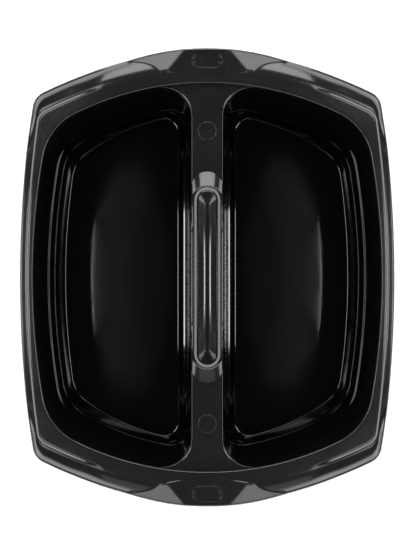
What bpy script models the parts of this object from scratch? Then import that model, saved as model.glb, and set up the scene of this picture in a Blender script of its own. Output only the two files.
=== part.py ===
"""Carrying tray with two deep troughs and a fixed centre handle, in moulded polypropylene.

+X is the tray's width, +Y its length, +Z up. The origin is on the table, under the middle.
Depths are measured down from the rim's land.
"""
import math

import bmesh
import bpy

# Heights
FLOOR_DEPTH = 0.130          # rim land to the inside of the trough floor
WALL = 0.0025                # general wall of the moulding
RIM_Z = FLOOR_DEPTH + WALL   # rim land above the table
DECK_DEPTH = 0.0045          # rim land down to the deck between the troughs
DECK_Z = RIM_Z - DECK_DEPTH  # deck above the table
GAP = 0.0003                 # clearance between touching pieces
SKIRT = 0.011                # rim land down to the foot of the rim's skirt
SKIRT_WALL = 0.0020
UNDER_CORNER = 1.4           # thickness of the land at the opening's edge, in walls

# Outlines of the rim: half width, half length, side, end and corner radius
LIP = (0.1646, 0.1966, 1.076, 0.331, 0.0165)
CREST = (0.1575, 0.1797, 1.000, 0.312, 0.0120)
OPENING = (0.1530, 0.1705, 0.620, 0.262, 0.0520)
LIP_EDGE = 0.0018            # width and height of the lip's rounded edge
CREST_STEP = 0.0012          # drop from the land to the flange along the sides and corners
CREST_RUN = 0.3              # share of the flange's width over which it drops
CREST_FADE = (0.095, 0.130)  # that step fades out between these distances from the centre line
END_DROP = 0.0050            # fall of the flange towards the lip at the two ends
END_RISE = (0.105, 0.165)    # distances along Y over which that fall sets in

# Grip tabs: arched tongues of the rim, one at each end
TAB_REACH = 0.00385          # how far a tab stands beyond the end arc
TAB_SPREAD = 0.070
TAB_START = 0.1761           # inner edge of a tab on the centre line
TAB_CREASE_R = 0.180
TAB_Z = 0.0004               # height of a tab over the land at its inner edge
TAB_RISE = 0.10              # slope of its ridge, upwards and outwards
TAB_ARCH = 0.67              # its fall from the ridge across X, per metre squared
TAB_ARCH_GAIN = 53.0         # growth of that fall per metre towards the lip

# Trough stations, top to floor: depth, outer wall x, spine wall x, end y,
# side, end, outer corner and spine corner radius
TROUGH_TOP = (DECK_DEPTH, 0.1530, 0.0140, 0.1705, 0.620, 0.262, 0.052, 0.026)
TROUGH_CREASE = (0.074, 0.1500, 0.0180, 0.1690, 0.640, 0.243, 0.047, 0.0225)
TROUGH_COVE = (0.115, 0.1473, 0.0212, 0.1675, 0.680, 0.225, 0.042, 0.0190)
TROUGH_FLOOR = (FLOOR_DEPTH, 0.1405, 0.0292, 0.1627, 0.740, 0.200, 0.032, 0.0130)
COVE_STEPS = (0.62, 0.90)    # heights at which the cove is divided, of its full height
FLOOR_MID_X = 0.085

# Dip in the deck under the handle
DIP_DEPTH = 0.0160
DIP_FLAT_Y = 0.040
DIP_EDGE_Y = 0.065
SPINE_Y = (0.118, 0.094, 0.080, 0.065, 0.059, 0.052, 0.046, 0.040, 0.020, 0.0)

# Handle: half sizes of its outline at each level, heights over the deck
FOOT_HALF = (0.0137, 0.0930)
BAR_LOW_HALF = (0.0138, 0.0800)
BAR_TOP_HALF = (0.0113, 0.0776)
RING_HALF = (0.0088, 0.0751)
HOLLOW_HALF = (0.0068, 0.0600)
BAR_UNDER = 0.0080           # deck to the bar's underside
RING_HEIGHT = 0.0250         # deck to the ring, at mid length
RING_CHAMFER = 0.0015
HANDLE_ARCH = 0.0025         # the bar's ends are this much lower than its middle
CAP_SEAT = 0.0023            # depth of the cap's ledge under the ring
CAP_DOME = 0.0025            # the cap's crown over the ring
CAP_EDGE = 0.0006            # height of the cap's rounded edge
CAP_LEVELS = ((0.0007, 0.0002), (0.0025, 0.0012), (0.0050, 0.0021))  # inset, height over the ring
CAP_CROWN_INSET = 0.0080
BAR_FLOOR = 0.0040           # plastic between the hollow and the fingers
WINDOW_HALF_Y = 0.0650
WINDOW_CORNER_R = 0.0060

# Fixings
SCREW_X, SCREW_Y = 0.0055, 0.0710
SCREW_R = 0.0019
SCREW_LENGTH = 0.0190
SCREW_HEAD = (0.0036, 0.0024)  # radius, height
SCREW_HEAD_TOP = (0.7, 0.6)  # where the head's rounding starts, as shares of its radius and height
SCREW_POINT = (0.35, 0.85)   # radius of the point and start of its taper, as shares of the screw's
WASHER = (0.0044, 0.0010)    # radius, thickness
DECK_HOLE_R = 0.0026
PLUG_Y = 0.1290
PLUG_HEAD = (0.0080, 0.0009)  # radius, height
PLUG_SHANK_R = 0.0064
BADGE_Y = 0.1900
BADGE_HALF = (0.0135, 0.0075)
BADGE_THICK = 0.0011
BADGE_EDGE = 0.3             # share of its thickness that its edge is chamfered by
BADGE_RECESS = 0.0010        # depth of its recess at the middle
CUT_MARGIN = 0.0020          # how far a cutter runs out of what it cuts

# How finely round stretches are divided, and the angle over which an edge is sharp
SHARP_ANGLE = math.radians(35.0)
SIDE_N, CORNER_N, END_N, CENTRE_N = 4, 5, 4, 3
SPINE_CORNER_N = 4
STADIUM_N = 6
ROUND_N = 20


def smoothstep(low, high, value):
    """0 below low, 1 above high, with a smooth rise between."""
    t = min(1.0, max(0.0, (value - low) / (high - low)))
    return t * t * (3.0 - 2.0 * t)


def blend(a, b, t):
    """Mix two equally long tuples."""
    return tuple(p + (q - p) * t for p, q in zip(a, b))


def arc(centre, radius, start, stop, count):
    """Points on an arc after its first, up to and with its last."""
    angles = [start + (stop - start) * i / count for i in range(1, count + 1)]
    return [(centre[0] + radius * math.cos(a), centre[1] + radius * math.sin(a)) for a in angles]


def corner_centre(side_centre, side_gap, end_centre, end_gap):
    """Centre of the arc that rounds the corner between a side arc and an end arc."""
    dx = end_centre[0] - side_centre[0]
    dy = end_centre[1] - side_centre[1]
    distance = math.hypot(dx, dy)
    along = (side_gap ** 2 - end_gap ** 2 + distance ** 2) / (2.0 * distance)
    across = math.sqrt(side_gap ** 2 - along ** 2)
    x = side_centre[0] + (along * dx + across * dy) / distance
    y = side_centre[1] + (along * dy - across * dx) / distance
    if y < 0.0:
        x = side_centre[0] + (along * dx - across * dy) / distance
        y = side_centre[1] + (along * dy + across * dx) / distance
    return x, y


def outer_quarter(shape):
    """Side and corner arcs of a rounded outline, with the angle and circle where its end starts."""
    half_x, half_y, side_r, end_r, corner_r = shape
    side_centre = (half_x - side_r, 0.0)
    end_centre = (0.0, half_y - end_r)
    corner = corner_centre(side_centre, side_r - corner_r, end_centre, end_r - corner_r)
    side_angle = math.atan2(corner[1], corner[0] - side_centre[0])
    end_angle = math.atan2(corner[1] - end_centre[1], corner[0])
    points = [(half_x, 0.0)]
    points += arc(side_centre, side_r, 0.0, side_angle, SIDE_N)
    points += arc(corner, corner_r, side_angle, end_angle, CORNER_N)
    return points, end_centre, end_angle


def spine_tangent(shape, spine_x, corner_r):
    """Centre of the arc between the spine and the end arc, and its angle from the end's centre."""
    half_y, end_r = shape[1], shape[3]
    x = spine_x + corner_r
    reach = math.sqrt((end_r - corner_r) ** 2 - x ** 2)
    return (x, half_y - end_r + reach), math.atan2(reach, x)


def grown(shape, distance):
    """The same outline, moved outwards by a distance."""
    return tuple(value + distance for value in shape)


def ring_quarter(shape):
    """A quarter of a rim outline, from the side's middle to the end's middle."""
    points, end_centre, end_angle = outer_quarter(shape)
    tangent_angle = spine_tangent(OPENING, TROUGH_TOP[2], TROUGH_TOP[7])[1]
    points += arc(end_centre, shape[3], end_angle, tangent_angle, END_N)
    points += arc(end_centre, shape[3], tangent_angle, math.pi / 2.0, CENTRE_N)
    return points


def mirrored_ring(quarter):
    """The whole outline, anticlockwise from +X, from the quarter in +X +Y."""
    back = quarter + [(-x, y) for x, y in reversed(quarter[:-1])]
    return back + [(x, -y) for x, y in reversed(back[1:-1])]


def with_tab(point):
    """Moves a point of the lip out to the edge of a grip tab."""
    x, y = point
    reach = TAB_REACH * smoothstep(0.0, END_RISE[1], abs(y)) / (1.0 + (x / TAB_SPREAD) ** 4)
    return x, y + math.copysign(reach, y)


def tab_height(x, y):
    """Height over the land of a grip tab's arched surface."""
    out = abs(y) - TAB_START
    return TAB_Z + TAB_RISE * out - TAB_ARCH * x * x * (1.0 + TAB_ARCH_GAIN * out)


def flange_height(x, y, outward):
    """Height over the land of the flange, from its crest (outward 0) to the lip (outward 1)."""
    step = CREST_STEP * smoothstep(*CREST_FADE, abs(x)) * smoothstep(0.0, CREST_RUN, outward)
    height = -step - END_DROP * smoothstep(*END_RISE, abs(y)) * outward ** 2
    crease = TAB_START + x * x / (2.0 * TAB_CREASE_R)
    tab = smoothstep(0.0, LIP_EDGE, abs(y) - crease)
    return height + tab * (max(height, tab_height(x, y)) - height)


def rim_rows(inner):
    """Rings of the rim, from the skirt's foot to the deck; inner is 0 on top, 1 underneath."""
    lip_outline = mirrored_ring(ring_quarter(grown(LIP, -SKIRT_WALL * inner)))
    edge_outline = mirrored_ring(ring_quarter(grown(LIP, -LIP_EDGE - SKIRT_WALL * inner)))
    lip = [with_tab(p) for p in lip_outline]
    edge = [with_tab(p) for p in edge_outline]
    crest = mirrored_ring(ring_quarter(CREST))
    opening = mirrored_ring(ring_quarter(grown(OPENING, WALL * inner)))
    under = WALL * inner
    heights = [flange_height(x, y, 1.0) - under for x, y in edge]
    middle = [blend(p, q, 0.5) for p, q in zip(edge, crest)]
    return [
        [(x, y, -SKIRT) for x, y in lip],
        [(x, y, z - LIP_EDGE) for (x, y), z in zip(lip, heights)],
        [(x, y, z) for (x, y), z in zip(edge, heights)],
        [(x, y, flange_height(x, y, 0.5) - under) for x, y in middle],
        [(x, y, flange_height(x, y, 0.0) - under) for x, y in crest],
        [(x, y, -UNDER_CORNER * under) for x, y in opening],
        [(x, y, -DECK_DEPTH - under) for x, y in opening],
    ]


def deck_depth(y):
    """Depth of the deck's top face under the rim land."""
    return DECK_DEPTH + DIP_DEPTH * (1.0 - smoothstep(DIP_FLAT_Y, DIP_EDGE_Y, abs(y)))


def trough_station(depth):
    """The trough's outline values at a depth."""
    stations = (TROUGH_TOP, TROUGH_CREASE, TROUGH_COVE)
    for upper, lower in zip(stations, stations[1:]):
        if depth <= lower[0]:
            return blend(upper, lower, (depth - upper[0]) / (lower[0] - upper[0]))
    height = min(1.0, (depth - TROUGH_COVE[0]) / (TROUGH_FLOOR[0] - TROUGH_COVE[0]))
    return blend(TROUGH_COVE, TROUGH_FLOOR, 1.0 - math.sqrt(1.0 - height * height))


def trough_quarter(depth, outset):
    """Half of a trough's outline at a depth, from its outer wall's middle to its spine wall's."""
    _, outer_x, spine_x, end_y, side_r, end_r, corner_r, spine_r = trough_station(depth)
    shape = grown((outer_x, end_y, side_r, end_r, corner_r), outset)
    spine_x -= outset
    spine_r += outset
    points, end_centre, end_angle = outer_quarter(shape)
    corner, tangent_angle = spine_tangent(shape, spine_x, spine_r)
    points += arc(end_centre, shape[3], end_angle, tangent_angle, END_N)
    points += arc(corner, spine_r, tangent_angle, math.pi, SPINE_CORNER_N)
    return points + [(spine_x, y) for y in SPINE_Y]


def trough_rows(outset):
    """Loops of the right-hand trough below its top edge, as half outlines with heights."""
    rows = []
    edge_count = len(trough_quarter(DECK_DEPTH, outset)) - len(SPINE_Y)
    mid_depth = 0.5 * (TROUGH_TOP[0] + TROUGH_CREASE[0])
    for fraction in (0.0, 0.5, 1.0):
        row = []
        for index, (x, y) in enumerate(trough_quarter(mid_depth, outset)):
            top = deck_depth(y) if index >= edge_count else DECK_DEPTH
            depth = top + (TROUGH_CREASE[0] - top) * fraction
            x, y = trough_quarter(depth, outset)[index]
            row.append((x, y, -depth - outset * (1.0 - fraction)))
        rows.append(row)
    cove_height = FLOOR_DEPTH - TROUGH_COVE[0]
    depths = [TROUGH_COVE[0]] + [TROUGH_COVE[0] + cove_height * t for t in COVE_STEPS] + [FLOOR_DEPTH]
    for depth in depths:
        sink = outset * (depth - TROUGH_COVE[0]) / cove_height
        rows.append([(x, y, -depth - sink) for x, y in trough_quarter(depth, outset)])
    return rows


class Skin:
    """One face of the moulding's wall, kept as vertices and faces."""

    def __init__(self):
        self.vertices = []
        self.faces = []

    def add(self, points):
        """Adds points and returns their numbers."""
        first = len(self.vertices)
        self.vertices += [(x, y, z + RIM_Z) for x, y, z in points]
        return list(range(first, first + len(points)))

    def bridge(self, row, other, closed):
        """Quads between two equally long rows."""
        count = len(row) if closed else len(row) - 1
        for i in range(count):
            j = (i + 1) % len(row)
            self.faces.append((row[i], row[j], other[j], other[i]))


def add_trough(skin, rim, side, outset):
    """Adds the trough on one side (+1 or -1); returns its edge along the deck, back to front."""
    quarter_rows = trough_rows(outset)
    shared = SIDE_N + CORNER_N + END_N
    total = len(rim)
    previous = None
    spine_edge = None
    for number, half in enumerate(quarter_rows):
        back = [(side * x, y, z) for x, y, z in half]
        front = [(side * x, -y, z) for x, y, z in reversed(half[1:-1])]
        if number == 0:
            spine = skin.add(back[shared + 1:] + front[:len(front) - shared])
            if side > 0:
                outer_back = rim[:shared + 1]
                outer_front = rim[total - shared:]
            else:
                middle = total // 2
                outer_back = [rim[middle - i] for i in range(shared + 1)]
                outer_front = [rim[middle + shared - i] for i in range(shared)]
            row = outer_back + spine + outer_front
            spine_edge = [outer_back[-1]] + spine + [outer_front[0]]
        else:
            row = skin.add(back + front)
            skin.bridge(previous, row, closed=True)
        previous = row
    floor_z = skin.vertices[previous[0]][2] - RIM_Z
    inner = []
    for number in previous:
        x, y, _ = skin.vertices[number]
        inner.append((0.5 * (x + side * FLOOR_MID_X), 0.5 * y, floor_z))
    inner_row = skin.add(inner)
    skin.bridge(previous, inner_row, closed=True)
    centre = skin.add([(side * FLOOR_MID_X, 0.0, floor_z)])[0]
    for i, number in enumerate(inner_row):
        skin.faces.append((number, inner_row[(i + 1) % len(inner_row)], centre))
    return spine_edge


def add_deck(skin, rim, right_edge, left_edge):
    """Fills the deck between the two troughs and the rim's ends."""
    middle = len(rim) // 2
    shared = SIDE_N + CORNER_N + END_N
    columns = 2 * CENTRE_N
    end_y = abs(skin.vertices[right_edge[0]][1])
    previous = rim[shared:middle - shared + 1]
    for right, left in zip(right_edge[1:-1], left_edge[1:-1]):
        x, y, z = skin.vertices[right]
        bow = (OPENING[1] - end_y) * max(0.0, (abs(y) - SPINE_Y[0]) / (end_y - SPINE_Y[0])) ** 2
        points = []
        for column in range(1, columns):
            t = 1.0 - 2.0 * column / columns
            points.append((x * t, y + math.copysign(bow * (1.0 - t * t), y), z - RIM_Z))
        row = [right] + skin.add(points) + [left]
        skin.bridge(previous, row, closed=False)
        previous = row
    front_row = rim[middle + shared:len(rim) - shared + 1]
    skin.bridge(previous, front_row[::-1], closed=False)


def add_skin(skin, inner):
    """Adds one whole face of the wall (inner 0 on top, 1 underneath); returns the skirt's foot."""
    rings = [skin.add(row) for row in rim_rows(inner)]
    for ring, following in zip(rings, rings[1:]):
        skin.bridge(ring, following, closed=True)
    right_edge = add_trough(skin, rings[-1], 1, WALL * inner)
    left_edge = add_trough(skin, rings[-1], -1, WALL * inner)
    add_deck(skin, rings[-1], right_edge, left_edge)
    return rings[0]


def material(name, colour, roughness, metallic=0.0):
    """A Principled material."""
    mat = bpy.data.materials.new(name)
    mat.use_nodes = True
    shader = mat.node_tree.nodes["Principled BSDF"]
    shader.inputs["Base Color"].default_value = (*colour, 1.0)
    shader.inputs["Roughness"].default_value = roughness
    shader.inputs["Metallic"].default_value = metallic
    mat.diffuse_color = (*colour, 1.0)
    return mat


def make_object(name, vertices, faces, mat, location=(0.0, 0.0, 0.0)):
    """An object from vertices and faces, with its faces turned outwards."""
    mesh = bpy.data.meshes.new(name)
    mesh.from_pydata(vertices, [], faces)
    bm = bmesh.new()
    bm.from_mesh(mesh)
    bmesh.ops.recalc_face_normals(bm, faces=bm.faces)
    bm.to_mesh(mesh)
    bm.free()
    mesh.shade_smooth()
    mesh.set_sharp_from_angle(angle=SHARP_ANGLE)
    if mat:
        mesh.materials.append(mat)
    obj = bpy.data.objects.new(name, mesh)
    obj.location = location
    bpy.context.scene.collection.objects.link(obj)
    return obj


def strip_cap(first, count):
    """Faces that close a stadium loop with strips across it, so that the cap follows its arch."""
    tip = STADIUM_N - 1
    faces = [(first + tip, first + tip + 1, first + tip - 1)]
    for step in range(1, count // 2 - 1):
        right = (tip - step) % count
        left = (tip + step) % count
        faces.append((first + right, first + left, first + (tip + step + 1) % count,
                      first + (tip - step - 1) % count))
    last = (tip + count // 2) % count
    faces.append((first + (last - 1) % count, first + last, first + (last + 1) % count))
    return faces


def lofted(loops, strips=False):
    """Vertices and faces of a closed body through equally long loops."""
    count = len(loops[0])
    vertices = [point for loop in loops for point in loop]
    top = len(vertices) - count
    if strips:
        faces = strip_cap(0, count) + strip_cap(top, count)
    else:
        faces = [tuple(range(count)), tuple(range(top, top + count))]
    for level in range(len(loops) - 1):
        for i in range(count):
            j = (i + 1) % count
            low = level * count
            faces.append((low + i, low + j, low + count + j, low + count + i))
    return vertices, faces


def turned(profile):
    """Vertices and faces of a closed body turned about Z from (radius, height) pairs."""
    steps = [2.0 * math.pi * i / ROUND_N for i in range(ROUND_N)]
    return lofted([[(r * math.cos(a), r * math.sin(a), z) for a in steps] for r, z in profile])


def stadium(half, height, arch=0.0):
    """A long round-ended loop along Y at a height; its ends are lower by the arch."""
    half_x, half_y = half
    straight = half_y - half_x
    plan = arc((0.0, straight), half_x, 0.0, math.pi, 2 * STADIUM_N)
    plan += [(-half_x, straight - 2.0 * straight * i / STADIUM_N) for i in range(1, STADIUM_N + 1)]
    plan += [(-x, -y) for x, y in plan]
    return [(x, y, height - arch * (y / BAR_TOP_HALF[1]) ** 2) for x, y in plan]


def cut(obj, name, bodies):
    """Cuts bodies, given as (vertices, faces, place), out of an object."""
    vertices = []
    faces = []
    for body_vertices, body_faces, place in bodies:
        first = len(vertices)
        vertices += [tuple(a + b for a, b in zip(v, place)) for v in body_vertices]
        faces += [tuple(first + i for i in face) for face in body_faces]
    cutter = make_object(name, vertices, faces, None)
    cutter.hide_render = True
    cutter.display_type = "WIRE"
    modifier = obj.modifiers.new(name, "BOOLEAN")
    modifier.operation = "DIFFERENCE"
    modifier.solver = "EXACT"
    modifier.object = cutter


def screw_places():
    """Name and place, on the deck, of each handle screw."""
    return [(f"{end}_{side}", x * SCREW_X, y * SCREW_Y)
            for end, y in (("front", -1), ("rear", 1)) for side, x in (("left", -1), ("right", 1))]


def oval(half, height):
    """A round-ended loop along X at a height."""
    return [(y, -x, z) for x, y, z in stadium((half[1], half[0]), height)]


def make_tray(mat):
    """The one-piece moulding: rim, two troughs and the deck between them."""
    skin = Skin()
    top_foot = add_skin(skin, 0)
    under_foot = add_skin(skin, 1)
    skin.bridge(top_foot, under_foot, closed=True)
    tray = make_object("tray_body", skin.vertices, skin.faces, mat)
    below = DECK_Z - WALL - CUT_MARGIN
    above = DECK_Z + CUT_MARGIN
    hole = turned([(DECK_HOLE_R, below), (DECK_HOLE_R, above)])
    rebate_z = DECK_Z - PLUG_HEAD[1] - GAP
    rebate_r = PLUG_HEAD[0] + GAP
    plug_hole = turned([(PLUG_SHANK_R + GAP, below), (PLUG_SHANK_R + GAP, rebate_z),
                        (rebate_r, rebate_z), (rebate_r, above)])
    recess_half = tuple(value + GAP for value in BADGE_HALF)
    recess_z = RIM_Z + tab_height(0.0, BADGE_Y) - BADGE_RECESS
    recess = lofted([oval(recess_half, recess_z), oval(recess_half, recess_z + 2.0 * CUT_MARGIN)])
    bodies = [(*hole, (x, y, 0.0)) for _, x, y in screw_places()]
    bodies += [(*plug_hole, (0.0, y, 0.0)) for y in (-PLUG_Y, PLUG_Y)]
    bodies += [(*recess, (0.0, y, 0.0)) for y in (-BADGE_Y, BADGE_Y)]
    cut(tray, "tray_holes", bodies)
    return tray


def make_handle(mat):
    """The handle moulding: a hollow bar on two feet that flare out along the deck."""
    ring_z = DECK_Z + RING_HEIGHT
    vertices, faces = lofted([
        stadium(FOOT_HALF, DECK_Z + GAP),
        stadium(BAR_LOW_HALF, DECK_Z + BAR_UNDER),
        stadium(BAR_TOP_HALF, ring_z - RING_CHAMFER, HANDLE_ARCH),
        stadium(RING_HALF, ring_z, HANDLE_ARCH),
        stadium(RING_HALF, ring_z - CAP_SEAT, HANDLE_ARCH),
        stadium(HOLLOW_HALF, ring_z - CAP_SEAT, HANDLE_ARCH),
        stadium(HOLLOW_HALF, DECK_Z + BAR_UNDER + BAR_FLOOR),
    ], strips=True)
    handle = make_object("handle_bridge", vertices, faces, mat)
    top = DECK_Z + BAR_UNDER
    corner = (WINDOW_HALF_Y - WINDOW_CORNER_R, top - WINDOW_CORNER_R)
    side = [(WINDOW_HALF_Y, DECK_Z - CUT_MARGIN), (WINDOW_HALF_Y, corner[1])]
    side += arc(corner, WINDOW_CORNER_R, 0.0, math.pi / 2.0, CORNER_N)
    side += [(-y, z) for y, z in reversed(side)]
    reach = 2.0 * FOOT_HALF[0]
    window = lofted([[(x, y, z) for y, z in side] for x in (-reach, reach)])
    cut(handle, "handle_window", [(*window, (0.0, 0.0, 0.0))])
    tip = DECK_Z - WALL - WASHER[1] - 2.0 * GAP + SCREW_LENGTH
    bore_r = SCREW_R + GAP
    bore = turned([(bore_r, DECK_Z - CUT_MARGIN), (bore_r, tip + GAP)])
    cut(handle, "handle_bores", [(*bore, (x, y, 0.0)) for _, x, y in screw_places()])
    return handle


def make_cap(mat):
    """The domed cover in the handle's ring."""
    seat = DECK_Z + RING_HEIGHT - CAP_SEAT + GAP
    half = tuple(value - GAP for value in RING_HALF)
    ring_z = DECK_Z + RING_HEIGHT
    levels = [(0.0, -CAP_EDGE), *CAP_LEVELS, (CAP_CROWN_INSET, CAP_DOME)]
    loops = [stadium(half, seat, HANDLE_ARCH)]
    for inset, height in levels:
        loops.append(stadium(tuple(v - inset for v in half), ring_z + height, HANDLE_ARCH))
    vertices, faces = lofted(loops, strips=True)
    return make_object("grip_cap", vertices, faces, mat)


def make_fixings(steel, mat):
    """Screws, washers, deck plugs and badges."""
    under = DECK_Z - WALL - GAP
    washer_low = under - WASHER[1]
    head_top = washer_low - GAP
    head_r, head_height = SCREW_HEAD
    screw = [(SCREW_HEAD_TOP[0] * head_r, head_top - head_height),
             (head_r, head_top - SCREW_HEAD_TOP[1] * head_height),
             (head_r, head_top), (SCREW_R, head_top),
             (SCREW_R, head_top + SCREW_POINT[1] * SCREW_LENGTH),
             (SCREW_POINT[0] * SCREW_R, head_top + SCREW_LENGTH)]
    washer_r, bore_r = WASHER[0], SCREW_R + GAP
    for name, x, y in screw_places():
        vertices, faces = turned(screw)
        make_object(f"handle_screw_{name}", vertices, faces, steel, (x, y, 0.0))
        vertices, faces = turned([(bore_r, washer_low), (washer_r, washer_low),
                                  (washer_r, under), (bore_r, under)])
        faces = faces[2:]
        last = 3 * ROUND_N
        for i in range(ROUND_N):
            j = (i + 1) % ROUND_N
            faces.append((i, j, last + j, last + i))
        make_object(f"handle_washer_{name}", vertices, faces, steel, (x, y, 0.0))
    head_r, head_height = PLUG_HEAD
    shank_foot = DECK_Z - WALL - CUT_MARGIN
    plug = [(PLUG_SHANK_R - GAP, shank_foot), (PLUG_SHANK_R, shank_foot + GAP),
            (PLUG_SHANK_R, DECK_Z - head_height), (head_r, DECK_Z - head_height),
            (head_r, DECK_Z - GAP), (head_r - GAP, DECK_Z)]
    badge_z = RIM_Z + tab_height(0.0, BADGE_Y) - BADGE_RECESS + GAP
    edge = BADGE_EDGE * BADGE_THICK
    badge = [oval(BADGE_HALF, badge_z), oval(BADGE_HALF, badge_z + BADGE_THICK - edge),
             oval(tuple(v - edge for v in BADGE_HALF), badge_z + BADGE_THICK)]
    for end, y in (("front", -1.0), ("rear", 1.0)):
        vertices, faces = turned(plug)
        make_object(f"deck_plug_{end}", vertices, faces, mat, (0.0, y * PLUG_Y, 0.0))
        vertices, faces = lofted(badge)
        make_object(f"badge_{end}", vertices, faces, mat, (0.0, y * BADGE_Y, 0.0))


def main():
    """Builds every piece in an empty scene."""
    for obj in list(bpy.data.objects):
        bpy.data.objects.remove(obj, do_unlink=True)
    body = material("black_polypropylene", (0.013, 0.013, 0.014), 0.38)
    grip = material("black_polypropylene_cap", (0.011, 0.011, 0.012), 0.30)
    steel = material("zinc_plated_steel", (0.60, 0.61, 0.62), 0.35, 1.0)
    make_tray(body)
    make_handle(body)
    make_cap(grip)
    make_fixings(steel, body)


main()
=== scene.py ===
# %% [markdown]
# # A two-trough carrying tray in black moulded polypropylene
#
# The real tray is an injection moulding: one thin skin of plastic that forms a flared rim, two deep
# troughs and a deck between them, with a handle fixed over a dip in that deck. This lesson rebuilds
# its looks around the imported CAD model, which stays the frame: every size below is in metres, in
# that frame, with the origin on the table under the middle of the tray, +Y along the handle.

# %% Load the frame
import math

import bmesh
import bpy
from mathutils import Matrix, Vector, noise


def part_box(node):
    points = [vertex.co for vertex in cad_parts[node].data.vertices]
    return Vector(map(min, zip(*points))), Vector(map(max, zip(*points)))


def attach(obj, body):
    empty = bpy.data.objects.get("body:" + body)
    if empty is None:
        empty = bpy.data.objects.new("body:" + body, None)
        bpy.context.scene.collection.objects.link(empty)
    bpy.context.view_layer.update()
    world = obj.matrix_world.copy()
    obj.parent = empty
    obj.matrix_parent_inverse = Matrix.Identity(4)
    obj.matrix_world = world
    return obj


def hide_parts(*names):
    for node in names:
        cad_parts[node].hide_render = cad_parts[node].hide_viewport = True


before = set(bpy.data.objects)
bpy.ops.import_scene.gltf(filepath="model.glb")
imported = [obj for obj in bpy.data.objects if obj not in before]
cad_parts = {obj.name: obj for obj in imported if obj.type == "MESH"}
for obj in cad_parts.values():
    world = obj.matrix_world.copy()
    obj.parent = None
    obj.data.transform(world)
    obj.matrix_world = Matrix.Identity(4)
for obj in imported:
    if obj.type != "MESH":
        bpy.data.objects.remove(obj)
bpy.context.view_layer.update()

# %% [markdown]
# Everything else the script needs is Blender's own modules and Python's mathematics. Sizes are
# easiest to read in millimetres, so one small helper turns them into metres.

MM = 0.001


def mm(*values):
    """Millimetres to metres; one value or several."""
    return values[0] * MM if len(values) == 1 else tuple(value * MM for value in values)


tray_low, tray_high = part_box("tray_body")
print("tray box, mm:", [round((b - a) / MM, 1) for a, b in zip(tray_low, tray_high)])

# %% [markdown]
# ## Sizes of the moulding
#
# The mould is drawn from a few plan outlines. Each is a quarter of a rounded rectangle whose sides
# and ends bow outwards, given by half width, half length and the radii of side, end and corner. The
# heights are counted from the flat land on top of the rim.

# %% Driving sizes
WALL = mm(2.5)
FLOOR_DEPTH = mm(130.0)
RIM_Z = tray_low[2] + FLOOR_DEPTH + WALL
DECK_DEPTH = mm(4.5)
DECK_Z = RIM_Z - DECK_DEPTH
SKIRT = mm(11.0)
LIP = mm(164.6, 196.6, 1076.0, 331.0, 16.5)
CREST = mm(157.5, 179.7, 1000.0, 312.0, 12.0)
OPENING = mm(153.0, 170.5, 620.0, 262.0, 52.0)
print("rim land stands", round(RIM_Z / MM, 1), "mm over the table")

# %% [markdown]
# ## Curves in plan
#
# A mould maker cuts these outlines as arcs that run smoothly into each other. Working them out from
# circles, and not from a list of points, keeps every ring of the mesh parallel to its neighbour, so
# highlights run along the edges without wobbling. The same number of points on every ring lets the
# rings be joined with four-sided faces.

# %% Arcs and outlines
SIDE_N, CORNER_N, END_N, CENTRE_N, SPINE_N = 36, 18, 60, 36, 14
SPINE_X, SPINE_R = mm(14.0), mm(26.0)


def arc(centre, radius, start, stop, count):
    """Points on an arc, without its first and with its last."""
    angles = [start + (stop - start) * i / count for i in range(1, count + 1)]
    return [(centre[0] + radius * math.cos(a), centre[1] + radius * math.sin(a)) for a in angles]


def smoothstep(low, high, value):
    """0 below low, 1 above high, smooth between."""
    t = min(1.0, max(0.0, (value - low) / (high - low)))
    return t * t * (3.0 - 2.0 * t)


def mix(a, b, t):
    """A value, or a tuple of values, part of the way from a to b."""
    if isinstance(a, tuple):
        return tuple(p + (q - p) * t for p, q in zip(a, b))
    return a + (b - a) * t


def grown(shape, distance):
    """The same outline moved outwards."""
    return tuple(value + distance for value in shape)


def corner_centre(shape):
    """Centre of the arc between the side and the end of an outline."""
    half_x, half_y, side_r, end_r, corner_r = shape
    side_x, end_y = half_x - side_r, half_y - end_r
    distance = math.hypot(side_x, end_y)
    side_gap, end_gap = side_r - corner_r, end_r - corner_r
    along = (side_gap ** 2 - end_gap ** 2 + distance ** 2) / (2.0 * distance)
    across = math.sqrt(side_gap ** 2 - along ** 2)
    ux, uy = -side_x / distance, end_y / distance
    return side_x + along * ux - across * uy, along * uy + across * ux


def spine_corner(shape, spine_x, spine_r):
    """Centre of the arc from an end arc round to the spine, and its angle at the end's centre."""
    x = spine_x + spine_r
    reach = math.sqrt((shape[3] - spine_r) ** 2 - x ** 2)
    return (x, shape[1] - shape[3] + reach), math.atan2(reach, x)


def side_and_corner(shape):
    """Side and corner arcs of an outline, its end's centre, and the angle where its end starts."""
    half_x, half_y, side_r, end_r, corner_r = shape
    corner = corner_centre(shape)
    end_centre = (0.0, half_y - end_r)
    side_angle = math.atan2(corner[1], corner[0] - half_x + side_r)
    end_angle = math.atan2(corner[1] - end_centre[1], corner[0])
    points = [(half_x, 0.0)] + arc((half_x - side_r, 0.0), side_r, 0.0, side_angle, SIDE_N)
    return points + arc(corner, corner_r, side_angle, end_angle, CORNER_N), end_centre, end_angle


def rim_quarter(shape):
    """A quarter of a rim outline, from the side's middle to the end's middle."""
    points, end_centre, end_angle = side_and_corner(shape)
    tangent = spine_corner(OPENING, SPINE_X, SPINE_R)[1]
    points += arc(end_centre, shape[3], end_angle, tangent, END_N)
    return points + arc(end_centre, shape[3], tangent, math.pi / 2.0, CENTRE_N)


SHARED = SIDE_N + CORNER_N + END_N
print("points on a quarter of the rim:", len(rim_quarter(LIP)))

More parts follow.
